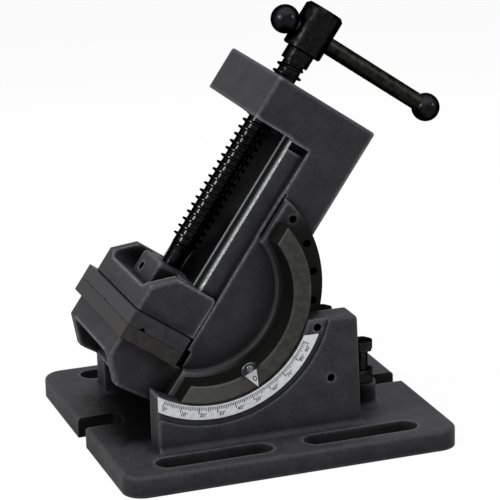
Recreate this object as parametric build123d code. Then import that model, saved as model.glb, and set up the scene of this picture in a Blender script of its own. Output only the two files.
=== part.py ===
from build123d import *
import math
import os

# Base plate
base_length = 213
base_width = 199
base_thickness = 13
base_corner_radius = 13
base_edge_radius = 2.5

# Clamping slots in the base plate
end_slot_width = 17.5
end_slot_depth = 26
end_slot_corner_radius = 5
flange_slot_width = 16
flange_slot_length = 74
flange_slot_spacing = 94
flange_slot_row_spacing = 164

# Tilt axis, above the base and towards its left end, and the tilt that is shown
pivot_x = -40.5
pivot_height = 102.5
tilt_angle = 55

# Cheeks that carry the tilting body
cheek_gap = 100
cheek_thickness = 17
cheek_left_reach = 36
cheek_right_reach = 92.5
cheek_foot_reach = 94.5
cheek_height = 83.3
cheek_corner_radius = 3.5
cheek_edge_radius = 2.2
cheek_foot_radius = 3.5
land_radius = 76.5
land_depth = 1.5

# Half rings of the tilting body and the fit in their saddles
rib_outer_radius = 64
rib_face_radius = 53
rib_root_radius = 51.5
rib_reach = 63.8
rib_top = 18
rib_edge_chamfer = 0.7
ring_radius = 76.5
ring_inner_radius = 47
ring_reach = 49.5
ring_top = 15
ring_roll_radius = 4.5
saddle_clearance = 0.08

# Indexing of the tilt
index_circle_radius = 71
index_hole_radius = 2.5
index_hole_depth = 9
index_angle = 20
index_step_angle = 15
index_count = 7
park_hole_reach = 74.5
park_hole_height = 45.3
park_hole_depth = 12

# Angle scale
scale_inner_radius = 64.4
scale_outer_radius = 72.7
scale_thickness = 1
scale_end_drop = 28.2
scale_end_gap = 0.3

# Stop bolts and their bosses
stop_x = 67
stop_y = 34.5
stop_boss_radius = 8.7
stop_boss_height = 14.6
stop_boss_foot_radius = 3.5
stop_thread_radius = 4
stop_bolt_hole_radius = 4.05
stop_bolt_end_height = 14
stop_head_base_height = 48.5
stop_head_height = 6
bolt_across_flats = 13
stop_nut_height = 8
stop_nut_lift = 0.3
hex_chamfer = 0.6

# Tilt lock bolts in the far cheek
lock_circle_radius = 71
lock_angles = (30, 58)
lock_tip_gap = 0.3
lock_head_gap = 1.5
lock_head_height = 5.5

# Body of the vise, measured from the tilt axis along the bed and square to it
body_width = 87.6
bed_top = 0.7
body_depth = 44.1
front_reach = 73.5
front_slope_foot = 15.5
front_foot_height = 11
front_toe_reach = 71.5
jaw_top = 29.6
jaw_edge_radius = 1.5
fixed_land_reach = 59.5
wall_front = 107.5
wall_back = 136.3
wall_top = 29
wall_edge_radius = 1.5
front_pocket_floor = 4
pocket_wall = 8.5
pocket_corner_radius = 4

# Ways of the bed
way_inner = 29
way_outer = 39.8
way_thickness = 14.7
way_outer_bevel = 2.5
far_way_outer_bevel = 9
way_inner_bevel = 0.8
cavity_half_width = 35.8
channel_start = -30
cavity_end = 103.5
recess_floor = -12.6
recess_end = 106.3
corner_relief_length = 11.6
corner_relief_floor = -15.2
runout_length = 5
runout_depth = 3
runout_corner_radius = 2
relief_width = 1.2
relief_depth = 1.5
bed_web_start = 38
bed_web_length = 9
bed_web_height = 12

# Jaw plates
plate_width = 100
plate_thickness = 9.1
plate_top = 32.7
plate_bottom = -8
jaw_face = -36.4
closed_gap = 0.3
plate_bed_gap = 0.5
plate_side_gap = 0.4
level_groove_width = 5
level_groove_depth = 2.5
level_groove_height = 22.5
upright_groove_width = 2.6
upright_groove_depth = 1.5
plate_screw_spacing = 56
plate_screw_height = 13
plate_screw_radius = 3
plate_screw_length = 16
socket_head_radius = 5
socket_head_height = 6
socket_radius = 2.9
socket_depth = 3
head_clearance = 0.25

# Movable jaw, closed
jaw_rear = 0.7
jaw_slope_start = -10.8
jaw_slope_foot = 16.5
jaw_pocket_floor = 7
jaw_pocket_front = -13.9
jaw_pocket_corner_radius = 6
skirt_bottom = -11.8
skirt_corner_radius = 2.5
slide_gap = 0.06
skirt_gap = 0.1
seam_bevel = 0.8
boss_half_width = 16.5
boss_corner_radius = 3.5
boss_top = 20.5
boss_rear = 2
boss_edge_radius = 1.5
tongue_rear = -2

# Keeper plate under the ways
keeper_length = 22
keeper_thickness = 7
keeper_gap = 0.08
keeper_side_gap = 0.5
keeper_screw_spacing = 36
keeper_screw_radius = 3
keeper_screw_length = 17

# Lead screw
screw_axis = 6.8
screw_radius = 9.25
screw_root_radius = 6.95
screw_lead_radius = 8.2
screw_pitch = 5.08
thread_start = 15.2
thread_turns = 26
thread_taper = 3.7
thread_crest_share = 0.25
thread_flank_share = 0.09
neck_radius = 6.2
journal_end = -13
journal_gap = 0.08
shank_radius = 9.1
hub_start = 155.6
hub_end = 185.3
hub_radius = 12.9
hub_chamfer = 2
hub_foot_chamfer = 1
nut_clearance = 0.08
retainer_groove_place = -7.8
retainer_groove_width = 5.7
retainer_groove_depth = 2
retainer_radius = 2.75
retainer_gap = 0.1
retainer_sink = 2
retainer_tip_drop = 4

# Handle through the hub
handle_place = 167.4
handle_radius = 5.5
handle_hole_radius = 5.56
handle_span = 113.2
handle_rest = 20.2
ball_radius = 9
ball_seat_depth = 9

# Pointer on the near rib
pointer_angle = 118.5
pointer_half_width = 4.7
pointer_base_radius = 51.4
pointer_tip_radius = 63.9
pointer_thickness = 0.8
pointer_head_radius = 48.8
pointer_cap_radius = 6.2
pointer_cap_thickness = 2.6
pointer_screw_radius = 1.5
pointer_screw_head_radius = 2.3
pointer_screw_head_height = 1.6
pointer_screw_length = 6.5
pointer_lug_radius = 2.6
pointer_lug_depth = 5

# Cutting tools run past the faces that they open by this much
overrun = 1

half_body = body_width / 2
cheek_inner = cheek_gap / 2
cheek_outer = cheek_inner + cheek_thickness
saddle_radius = rib_outer_radius + saddle_clearance
way_bottom = bed_top - way_thickness
tongue_bottom = way_bottom - keeper_gap
fixed_plate_front = jaw_face - closed_gap / 2
movable_plate_front = jaw_face + closed_gap / 2
fixed_jaw_face = fixed_plate_front - plate_thickness
movable_jaw_face = movable_plate_front + plate_thickness
handle_high = screw_axis + handle_rest
handle_low = handle_high - handle_span
retainer_y = neck_radius - retainer_groove_depth + retainer_gap + retainer_radius


def block(x_low, x_high, y_low, y_high, z_low, z_high):
    solid = Box(x_high - x_low, y_high - y_low, z_high - z_low, align=(Align.MIN, Align.MIN, Align.MIN))
    return Pos(x_low, y_low, z_low) * solid


def rod_x(radius, x_low, x_high, y, z):
    solid = Cylinder(radius, x_high - x_low, align=(Align.CENTER, Align.CENTER, Align.MIN))
    return Pos(x_low, y, z) * Rot(0, 90, 0) * solid


def rod_y(radius, y_low, y_high, x, z):
    solid = Cylinder(radius, y_high - y_low, align=(Align.CENTER, Align.CENTER, Align.MIN))
    return Pos(x, y_low, z) * Rot(-90, 0, 0) * solid


def rod_z(radius, z_low, z_high, x, y):
    solid = Cylinder(radius, z_high - z_low, align=(Align.CENTER, Align.CENTER, Align.MIN))
    return Pos(x, y, z_low) * solid


def slab(outline, y_low, y_high):
    """Extrude an outline of (x, z) points from y_low to y_high."""
    wire = Polyline(*[(x, y_low, z) for x, z in outline], close=True)
    return extrude(make_face(wire), amount=y_high - y_low, dir=(0, 1, 0))


def turned_x(outline):
    """Turn an outline of (x, radius) points round the X axis."""
    wire = Polyline(*[(x, 0, radius) for x, radius in outline], close=True)
    return revolve(make_face(wire), axis=Axis.X)


def turned_y(outline):
    """Turn an outline of (radius, y) points round the Y axis."""
    wire = Polyline(*[(radius, y, 0) for radius, y in outline], close=True)
    return revolve(make_face(wire), axis=Axis.Y)


def hexagon_z(across_flats, z_low, z_high, x, y):
    corner_radius = across_flats / math.sqrt(3)
    face = RegularPolygon(corner_radius, 6)
    prism = extrude(face, amount=z_high - z_low)
    crown = Cylinder(corner_radius, z_high - z_low, align=(Align.CENTER, Align.CENTER, Align.MIN))
    crown = chamfer(crown.edges().group_by(Axis.Z)[-1], hex_chamfer)
    return Pos(x, y, z_low) * (prism & crown)


def on_circle(radius, angle):
    """Place on a circle round the tilt axis, the angle measured down from +X."""
    turn = math.radians(angle)
    return radius * math.cos(turn), -radius * math.sin(turn)


def tilted(shape):
    """Carry a piece from the bed's own frame to where it stands, tilted."""
    return Pos(pivot_x, 0, pivot_height) * Rot(0, -tilt_angle, 0) * shape


def both_sides(shape):
    return shape + mirror(shape, about=Plane.XZ)


def base_plate():
    plate = block(-base_length / 2, base_length / 2, -base_width / 2, base_width / 2, 0, base_thickness)
    plate = fillet(plate.edges().filter_by(Axis.Z), base_corner_radius)
    plate = fillet(plate.edges().group_by(Axis.Z)[-1], base_edge_radius)
    return plate


def end_slots():
    start = base_length / 2 - end_slot_depth
    stop = base_length / 2 + overrun
    half = end_slot_width / 2
    slot = block(start, stop, -half, half, -overrun, base_thickness + overrun)
    slot = fillet(slot.edges().filter_by(Axis.Z).group_by(Axis.X)[0], end_slot_corner_radius)
    return slot + mirror(slot, about=Plane.YZ)


def flange_slots():
    slots = None
    for x in (-flange_slot_spacing / 2, flange_slot_spacing / 2):
        for y in (-flange_slot_row_spacing / 2, flange_slot_row_spacing / 2):
            face = SlotOverall(flange_slot_length, flange_slot_width)
            cut = Pos(x, y, -overrun) * extrude(face, amount=base_thickness + 2 * overrun)
            slots = cut if slots is None else slots + cut
    return slots


def near_cheek():
    """One cheek, on the side towards -Y, with its saddle and its rounded post."""
    left = pivot_x - cheek_left_reach
    top_right = pivot_x + cheek_right_reach
    foot_right = pivot_x + cheek_foot_reach
    foot = base_thickness - base_edge_radius
    outline = [(left, foot), (left, cheek_height), (top_right, cheek_height), (foot_right, foot)]
    cheek = slab(outline, -cheek_outer, -cheek_inner)
    corner = cheek.edges().filter_by(Axis.Y).group_by(Axis.Z)[-1].sort_by(Axis.X)[-1]
    cheek = fillet(corner, cheek_corner_radius)
    outer = cheek.faces().sort_by(Axis.Y)[0].edges()
    rounded = [edge for edge in outer if edge.center().X > left + overrun and edge.center().Z > foot + overrun]
    cheek = fillet(rounded, cheek_edge_radius)
    saddle = rod_y(saddle_radius, -cheek_outer - overrun, -cheek_inner + overrun, pivot_x, pivot_height)
    return cheek - saddle


def stop_boss():
    top = base_thickness + stop_boss_height
    return rod_z(stop_boss_radius, base_thickness - base_edge_radius, top, stop_x, -stop_y)


def base_casting():
    casting = base_plate() - end_slots() - flange_slots()
    casting += both_sides(near_cheek())
    foot_edges = [edge for edge in casting.edges() if on_cheek_foot(edge)]
    casting = fillet(foot_edges, cheek_foot_radius)
    casting += both_sides(stop_boss())
    boss_feet = [edge for edge in casting.edges() if on_boss_foot(edge)]
    casting = fillet(boss_feet, stop_boss_foot_radius)
    land = rod_y(land_radius, -cheek_outer - overrun, -cheek_outer + land_depth, pivot_x, pivot_height)
    casting -= land
    index_x, index_z = on_circle(index_circle_radius, index_angle)
    casting -= rod_y(index_hole_radius, -cheek_outer - overrun, -cheek_inner + overrun,
                     pivot_x + index_x, pivot_height + index_z)
    casting -= rod_y(index_hole_radius, -cheek_outer - overrun, -cheek_outer + park_hole_depth,
                     pivot_x + park_hole_reach, park_hole_height)
    top = base_thickness + stop_boss_height
    casting -= both_sides(rod_z(stop_bolt_hole_radius, -overrun, top + overrun, stop_x, -stop_y))
    for angle in lock_angles:
        x, z = on_circle(lock_circle_radius, angle)
        casting -= rod_y(stop_bolt_hole_radius, cheek_inner - overrun, cheek_outer + overrun,
                         pivot_x + x, pivot_height + z)
    return casting


def on_cheek_foot(edge):
    """Whether an edge runs where a cheek's outer side meets the top of the plate."""
    place = edge.center()
    at_top = abs(place.Z - base_thickness) < saddle_clearance
    at_side = abs(place.Y) > cheek_outer - cheek_edge_radius
    return at_top and at_side and abs(place.Y) < cheek_outer + saddle_clearance


def on_boss_foot(edge):
    """Whether an edge runs round a stop boss where it meets the top of the plate."""
    at_top = abs(edge.center().Z - base_thickness) < saddle_clearance
    return at_top and edge.geom_type == GeomType.CIRCLE and abs(edge.radius - stop_boss_radius) < saddle_clearance


def scale_plate():
    """Arc of thin plate on the near land, cut off upright at the left and level at the right."""
    y_low = -cheek_outer + land_depth - scale_thickness
    y_high = -cheek_outer + land_depth
    ring = rod_y(scale_outer_radius, y_low, y_high, 0, 0) - rod_y(scale_inner_radius, y_low, y_high, 0, 0)
    reach = scale_outer_radius + overrun
    left = -cheek_left_reach + scale_end_gap
    return Pos(pivot_x, 0, pivot_height) * (ring & block(left, reach, y_low, y_high, -reach, -scale_end_drop))


def stop_bolt(y):
    shank = rod_z(stop_thread_radius, stop_bolt_end_height, stop_head_base_height, stop_x, y)
    head_top = stop_head_base_height + stop_head_height
    return shank + hexagon_z(bolt_across_flats, stop_head_base_height, head_top, stop_x, y)


def stop_nut(y):
    low = base_thickness + stop_boss_height + stop_nut_lift
    nut = hexagon_z(bolt_across_flats, low, low + stop_nut_height, stop_x, y)
    return nut - rod_z(stop_bolt_hole_radius, low - overrun, low + stop_nut_height + overrun, stop_x, y)


def tilt_lock_bolt(angle):
    x, z = on_circle(lock_circle_radius, angle)
    tip = ring_reach + lock_tip_gap
    head = cheek_outer + lock_head_gap
    bolt = rod_z(stop_thread_radius, tip, head, 0, 0)
    bolt += hexagon_z(bolt_across_flats, head, head + lock_head_height, 0, 0)
    return Pos(pivot_x + x, 0, pivot_height + z) * Rot(-90, 0, 0) * bolt


def body_core():
    """Fixed jaw, bed and end wall in one outline, drawn in the bed's own frame."""
    outline = [
        (-front_toe_reach, -ring_top),
        (-front_reach, front_foot_height),
        (-front_reach, front_slope_foot),
        (-fixed_land_reach, jaw_top),
        (fixed_jaw_face, jaw_top),
        (fixed_jaw_face, bed_top),
        (wall_front, bed_top),
        (wall_front, wall_top),
        (wall_back, wall_top),
        (wall_back, -body_depth),
        (-math.sqrt(ring_radius ** 2 - body_depth ** 2), -body_depth),
    ]
    core = slab(outline, -half_body, half_body)
    jaw_edges = [edge for edge in core.edges() if on_fixed_jaw_rim(edge)]
    core = fillet(jaw_edges, jaw_edge_radius)
    wall_edges = [edge for edge in core.edges() if on_wall_rim(edge)]
    return fillet(wall_edges, wall_edge_radius)


def on_fixed_jaw_rim(edge):
    """Whether an edge runs along the side of the fixed jaw's land, slope or front."""
    place = edge.center()
    at_side = abs(place.Y) > half_body - overrun
    return at_side and place.X < fixed_jaw_face - overrun and place.Z > -ring_top + overrun


def on_wall_rim(edge):
    """Whether an edge runs round the end wall's top or back."""
    place = edge.center()
    at_top = place.Z > wall_top - overrun
    at_back = place.X > wall_back - overrun
    return at_top or at_back


def near_ring():
    """Near half ring, with its rounded inner lip."""
    lip = turned_y([
        (ring_inner_radius, -half_body + overrun),
        (ring_inner_radius, -ring_reach),
        (ring_radius, -ring_reach),
        (ring_radius, -half_body + overrun),
    ])
    roll = [edge for edge in lip.edges() if is_rolled(edge)]
    lip = fillet(roll, ring_roll_radius)
    disc = rod_y(ring_radius, -half_body, -cavity_half_width, 0, 0)
    reach = ring_radius + overrun
    return (disc + lip) & block(-reach, reach, -ring_reach - overrun, 0, -reach, -ring_top)


def near_rib():
    """Near half of the bearing, on the ring's face, that turns in the near saddle."""
    rib = turned_y([
        (rib_root_radius, -ring_reach),
        (rib_face_radius, -rib_reach),
        (rib_outer_radius, -rib_reach),
        (rib_outer_radius, -ring_reach),
    ])
    face_rims = rib.faces().sort_by(Axis.Y)[0].edges()
    rib = chamfer(face_rims, rib_edge_chamfer)
    reach = ring_radius + overrun
    return rib & block(-reach, reach, -rib_reach - overrun, 0, -reach, -rib_top)


def pointer_lug():
    """Lug on the inner edge of the near rib that takes the pointer's screw."""
    inner = -rib_reach + pointer_lug_depth
    rounded = rod_y(pointer_lug_radius, -rib_reach, inner, pointer_head_radius, 0)
    root = block(pointer_head_radius, rib_face_radius + rib_edge_chamfer, -rib_reach, inner,
                 -pointer_lug_radius, pointer_lug_radius)
    return Rot(0, pointer_angle, 0) * (rounded + root)


def bearing_rib_near():
    return near_rib() + pointer_lug() - pointer_screw_hole()


def bearing_rib_far():
    return mirror(near_rib(), about=Plane.XZ)


def is_rolled(edge):
    at_face = abs(edge.center().Y + ring_reach) < rib_edge_chamfer
    return at_face and edge.geom_type == GeomType.CIRCLE and edge.radius < ring_inner_radius + rib_edge_chamfer


def bed_cuts():
    """Channel between the ways, cavity under them, side recesses with their relief, and run-outs."""
    channel = block(channel_start, wall_front, -way_inner, way_inner, way_bottom - overrun, bed_top + overrun)
    cavity = block(channel_start, cavity_end, -cavity_half_width, cavity_half_width,
                   -ring_radius - overrun, way_bottom)
    recess = block(fixed_jaw_face, recess_end, -half_body - overrun, -way_outer,
                   recess_floor, bed_top + overrun)
    corner = block(fixed_jaw_face, fixed_jaw_face + corner_relief_length, -half_body - overrun, -way_outer,
                   corner_relief_floor, recess_floor + overrun)
    runout = block(recess_end - runout_length, recess_end, -half_body - overrun, -way_outer + runout_depth,
                   recess_floor, bed_top - way_outer_bevel)
    runout = fillet(runout.edges().filter_by(Axis.Z).group_by(Axis.Y)[-1], runout_corner_radius)
    relief = block(ring_inner_radius, ring_radius + overrun, -half_body - overrun, -half_body + relief_depth,
                   -ring_top, -ring_top + relief_width)
    return channel + cavity + both_sides(recess + corner + runout + relief)


def way_bevel(edge_y, outward, size):
    """Prism that bevels a top edge of a way; outward points off the way, along Y."""
    run = wall_front - fixed_jaw_face
    wire = Polyline(
        (fixed_jaw_face, edge_y + outward * overrun, bed_top + overrun),
        (fixed_jaw_face, edge_y - outward * (size + overrun), bed_top + overrun),
        (fixed_jaw_face, edge_y + outward * overrun, bed_top - size - overrun),
        close=True)
    return extrude(make_face(wire), amount=run, dir=(1, 0, 0))


def vise_body():
    body = body_core() + both_sides(near_ring())
    body -= bed_cuts()
    body -= both_sides(way_bevel(-way_inner, 1, way_inner_bevel))
    body -= way_bevel(-way_outer, -1, way_outer_bevel)
    body -= way_bevel(way_outer, 1, far_way_outer_bevel)
    body += block(bed_web_start, bed_web_start + bed_web_length, -half_body, half_body,
                  -body_depth, -body_depth + bed_web_height)
    body -= front_pocket()
    for index in range(index_count):
        x, z = on_circle(index_circle_radius, index_angle + index * index_step_angle)
        body -= rod_y(index_hole_radius, -ring_reach - overrun, -ring_reach + index_hole_depth, x, z)
    body -= rod_x(screw_radius + nut_clearance, wall_front - overrun - (wall_front - cavity_end),
                  wall_back + overrun, 0, screw_axis)
    body -= plate_screw_holes(fixed_jaw_face, -1)
    return body


def front_pocket():
    half = half_body - pocket_wall
    pocket = block(-front_reach - overrun, -fixed_land_reach, -half, half, front_pocket_floor, jaw_top + overrun)
    return fillet(pocket.edges().group_by(Axis.X)[-1].filter_by(Axis.Z), pocket_corner_radius)


def plate_screw_holes(face, direction):
    """Two blind threaded holes from a jaw face, along the bed."""
    depth = head_clearance + plate_screw_length - plate_thickness + overrun
    ends = sorted((face - direction * overrun, face + direction * depth))
    holes = None
    for y in (-plate_screw_spacing / 2, plate_screw_spacing / 2):
        hole = rod_x(plate_screw_radius, ends[0], ends[1], y, plate_screw_height)
        holes = hole if holes is None else holes + hole
    return holes


def pointer_place(radius):
    x, z = on_circle(radius, pointer_angle)
    return x, z


def pointer_screw_hole():
    x, z = pointer_place(pointer_head_radius)
    deep = -rib_reach - pointer_thickness - pointer_cap_thickness + pointer_screw_length
    return rod_y(pointer_screw_radius, -rib_reach - overrun, deep + overrun, x, z)


def pointer():
    """Thin plate: a half round under the cap, and a triangle whose tip reads the scale."""
    y_high = -rib_reach
    y_low = y_high - pointer_thickness
    triangle = slab([
        (pointer_base_radius, -pointer_half_width),
        (pointer_tip_radius, 0),
        (pointer_base_radius, pointer_half_width),
    ], y_low, y_high)
    plate = pointer_half_round(pointer_cap_radius - pointer_thickness, y_low, y_high) + triangle
    plate -= rod_y(pointer_screw_radius, y_low - overrun, y_high + overrun, pointer_head_radius, 0)
    return Rot(0, pointer_angle, 0) * plate


def pointer_half_round(radius, y_low, y_high):
    """Half disc on the inner side of the line where the triangle starts."""
    edge = radius + overrun
    beyond = block(pointer_base_radius, pointer_base_radius + edge, y_low - overrun, y_high + overrun, -edge, edge)
    return rod_y(radius, y_low, y_high, pointer_base_radius, 0) - beyond


def pointer_cap():
    y_high = -rib_reach - pointer_thickness
    y_low = y_high - pointer_cap_thickness
    cap = pointer_half_round(pointer_cap_radius, y_low, y_high)
    cap = chamfer(cap.faces().sort_by(Axis.Y)[0].edges().filter_by(GeomType.CIRCLE), pointer_thickness)
    cap -= rod_y(pointer_screw_radius, y_low - overrun, y_high + overrun, pointer_head_radius, 0)
    return Rot(0, pointer_angle, 0) * cap


def pointer_screw():
    y_high = -rib_reach - pointer_thickness - pointer_cap_thickness
    y_low = y_high - pointer_screw_head_height
    head = rod_y(pointer_screw_head_radius, y_low, y_high, pointer_head_radius, 0)
    head = fillet(head.faces().sort_by(Axis.Y)[0].edges(), pointer_screw_head_height / 2)
    slot_half = pointer_thickness / 2
    reach = pointer_screw_head_radius
    head -= block(pointer_head_radius - reach, pointer_head_radius + reach, y_low, y_low + pointer_thickness,
                  -slot_half, slot_half)
    shank = rod_y(pointer_screw_radius, y_high, y_high + pointer_screw_length, pointer_head_radius, 0)
    return Rot(0, pointer_angle, 0) * (head + shank)


def jaw_plate(front, direction):
    """Jaw plate that straddles the ways; direction points from its working face to its back."""
    back = front + direction * plate_thickness
    low, high = sorted((front, back))
    half = plate_width / 2
    plate = block(low, high, -half, half, plate_bottom, plate_top)
    leg_gap = way_outer + plate_side_gap
    plate -= block(low - overrun, high + overrun, -leg_gap, leg_gap, plate_bottom - overrun, bed_top + plate_bed_gap)
    for y in (-plate_screw_spacing / 2, plate_screw_spacing / 2):
        plate -= rod_x(plate_screw_radius, low - overrun, high + overrun, y, plate_screw_height)
        sink = sorted((front - direction * overrun, front + direction * (socket_head_height + head_clearance)))
        plate -= rod_x(socket_head_radius + head_clearance, sink[0], sink[1], y, plate_screw_height)
    return plate


def plate_grooves(front, direction):
    """Upright and level vee grooves that hold round stock."""
    half = plate_width / 2
    mouth = front - direction * overrun
    root = front + direction * upright_groove_depth
    flare = upright_groove_width / 2 * (upright_groove_depth + overrun) / upright_groove_depth
    upright = extrude(make_face(Polyline((mouth, -flare, plate_bottom), (mouth, flare, plate_bottom),
                                         (root, 0, plate_bottom), close=True)),
                      amount=plate_top - plate_bottom + overrun, dir=(0, 0, 1))
    root = front + direction * level_groove_depth
    flare = level_groove_width / 2 * (level_groove_depth + overrun) / level_groove_depth
    level = slab([
        (mouth, level_groove_height - flare),
        (mouth, level_groove_height + flare),
        (root, level_groove_height),
    ], -half - overrun, half + overrun)
    return upright + level


def fixed_jaw_plate():
    return jaw_plate(fixed_plate_front, -1)


def movable_jaw_plate():
    return jaw_plate(movable_plate_front, 1) - plate_grooves(movable_plate_front, 1)


def plate_screws(front, direction):
    screws = []
    for y in (-plate_screw_spacing / 2, plate_screw_spacing / 2):
        seat = front + direction * (socket_head_height + head_clearance)
        head_end = front + direction * head_clearance
        tip = seat + direction * (plate_screw_length - socket_head_height)
        head = rod_x(socket_head_radius, *sorted((head_end, seat)), y, plate_screw_height)
        socket = rod_x(socket_radius, *sorted((head_end, head_end + direction * socket_depth)), y, plate_screw_height)
        shank = rod_x(plate_screw_radius, *sorted((seat, tip)), y, plate_screw_height)
        screws.append(head + shank - socket)
    return Compound(screws)


def movable_jaw():
    """Jaw casting that straddles the ways, drawn closed."""
    foot = bed_top + slide_gap
    outline = [
        (movable_jaw_face, foot),
        (movable_jaw_face, jaw_top),
        (jaw_slope_start, jaw_top),
        (jaw_rear, jaw_slope_foot),
        (jaw_rear, foot),
    ]
    jaw = slab(outline, -half_body, half_body)
    skirt = block(movable_jaw_face, jaw_rear, -half_body, -way_outer - skirt_gap, skirt_bottom, foot + overrun)
    skirt = fillet(skirt.edges().filter_by(Axis.Y).group_by(Axis.Z)[0].sort_by(Axis.X)[-1], skirt_corner_radius)
    jaw += both_sides(skirt)
    rims = [edge for edge in jaw.edges() if on_movable_jaw_rim(edge)]
    jaw = fillet(rims, jaw_edge_radius)
    seam = jaw.edges().filter_by(Axis.Y).group_by(Axis.Z)[-1].sort_by(Axis.X)[0]
    jaw = chamfer(seam, seam_bevel)
    half = half_body - pocket_wall
    pocket = block(jaw_pocket_front, jaw_rear + overrun, -half, half, jaw_pocket_floor, jaw_top + overrun)
    jaw -= fillet(pocket.edges().filter_by(Axis.Z).group_by(Axis.X)[0], jaw_pocket_corner_radius)
    boss = block(jaw_pocket_front - overrun, boss_rear, -boss_half_width, boss_half_width, foot, boss_top)
    boss = fillet(boss.edges().filter_by(Axis.Z).group_by(Axis.X)[-1], boss_corner_radius)
    boss = fillet(boss.edges().group_by(Axis.Z)[-1], boss_edge_radius)
    jaw += boss
    tongue_side = way_inner - skirt_gap
    jaw += block(movable_jaw_face, tongue_rear, -tongue_side, tongue_side, tongue_bottom, foot + overrun)
    jaw -= rod_x(neck_radius + journal_gap, journal_end - journal_gap, boss_rear + overrun, 0, screw_axis)
    jaw -= retainer_hole()
    jaw -= plate_screw_holes(movable_jaw_face, 1)
    for y in (-keeper_screw_spacing / 2, keeper_screw_spacing / 2):
        middle = (movable_jaw_face + tongue_rear) / 2
        depth = keeper_screw_length - keeper_thickness + overrun
        jaw -= rod_z(keeper_screw_radius, tongue_bottom - overrun, tongue_bottom + depth, middle, y)
    return jaw


def on_movable_jaw_rim(edge):
    """Whether an edge runs along the side of the movable jaw's land or slope."""
    place = edge.center()
    at_side = abs(place.Y) > half_body - overrun
    return at_side and place.Z > jaw_slope_foot and place.X > movable_jaw_face + overrun


def retainer_hole():
    return rod_z(retainer_radius, screw_axis - retainer_tip_drop, boss_top + overrun,
                 retainer_groove_place, retainer_y)


def screw_retainer():
    """Grub screw that passes beside the lead screw's journal, through its groove."""
    low = screw_axis - retainer_tip_drop
    high = boss_top - retainer_sink
    pin = rod_z(retainer_radius, low, high, retainer_groove_place, retainer_y)
    socket = Pos(retainer_groove_place, retainer_y, high - retainer_radius) * RegularPolygon(retainer_radius / 2, 6)
    return pin - extrude(socket, amount=retainer_radius + overrun)


def keeper_plate():
    middle = (movable_jaw_face + tongue_rear) / 2
    high = tongue_bottom
    side = cavity_half_width - keeper_side_gap
    plate = block(middle - keeper_length / 2, middle + keeper_length / 2, -side, side, high - keeper_thickness, high)
    plate = chamfer(plate.edges().group_by(Axis.Z)[0], keeper_side_gap)
    for y in (-keeper_screw_spacing / 2, keeper_screw_spacing / 2):
        plate -= rod_z(keeper_screw_radius, high - keeper_thickness - overrun, high + overrun, middle, y)
    return plate


def keeper_screws():
    middle = (movable_jaw_face + tongue_rear) / 2
    seat = tongue_bottom - keeper_thickness
    screws = []
    for y in (-keeper_screw_spacing / 2, keeper_screw_spacing / 2):
        head = rod_z(socket_head_radius, seat - socket_head_height, seat, middle, y)
        socket = rod_z(socket_radius, seat - socket_head_height, seat - socket_head_height + socket_depth, middle, y)
        shank = rod_z(keeper_screw_radius, seat, seat + keeper_screw_length, middle, y)
        screws.append(head + shank - socket)
    return Compound(screws)


def thread_outline():
    """Crest and root points of the thread along the screw, as (x, radius)."""
    points = []
    crest = thread_crest_share * screw_pitch
    flank = thread_flank_share * screw_pitch
    crest_radii = [screw_lead_radius] + [screw_radius] * (thread_turns - 1)
    for turn, crest_radius in enumerate(crest_radii):
        start = thread_start + turn * screw_pitch
        points.append((start, screw_root_radius))
        points.append((start + flank, crest_radius))
        points.append((start + flank + crest, crest_radius))
        points.append((start + flank + crest + flank, screw_root_radius))
    return points


def lead_screw():
    groove_low = retainer_groove_place - retainer_groove_width / 2
    groove_high = retainer_groove_place + retainer_groove_width / 2
    groove_radius = neck_radius - retainer_groove_depth
    thread_end = thread_start + thread_turns * screw_pitch
    outline = [(journal_end, 0), (journal_end, neck_radius)]
    outline += [(groove_low, neck_radius), (groove_low, groove_radius)]
    outline += [(groove_high, groove_radius), (groove_high, neck_radius)]
    outline += [(thread_start - thread_taper, neck_radius)]
    outline += thread_outline()
    outline += [(thread_end, screw_root_radius), (thread_end, shank_radius), (hub_start, shank_radius)]
    outline += [(hub_start, hub_radius - hub_foot_chamfer), (hub_start + hub_foot_chamfer, hub_radius)]
    outline += [(hub_end - hub_chamfer, hub_radius), (hub_end, hub_radius - hub_chamfer), (hub_end, 0)]
    screw = turned_x(outline)
    screw -= rod_z(handle_hole_radius, -hub_radius - overrun, hub_radius + overrun, handle_place, 0)
    return Pos(0, 0, screw_axis) * screw


def handle_bar():
    low = handle_low + ball_radius - ball_seat_depth
    high = handle_high - ball_radius + ball_seat_depth
    return rod_z(handle_radius, low, high, handle_place, 0)


def handle_ball(height, direction):
    """Ball with a blind hole that takes the end of the bar."""
    ball = Pos(handle_place, 0, height) * Sphere(ball_radius)
    ends = sorted((height, height + direction * (ball_radius + overrun)))
    return ball - rod_z(handle_radius, ends[0], ends[1], handle_place, 0)


os.makedirs("parts", exist_ok=True)

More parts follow.
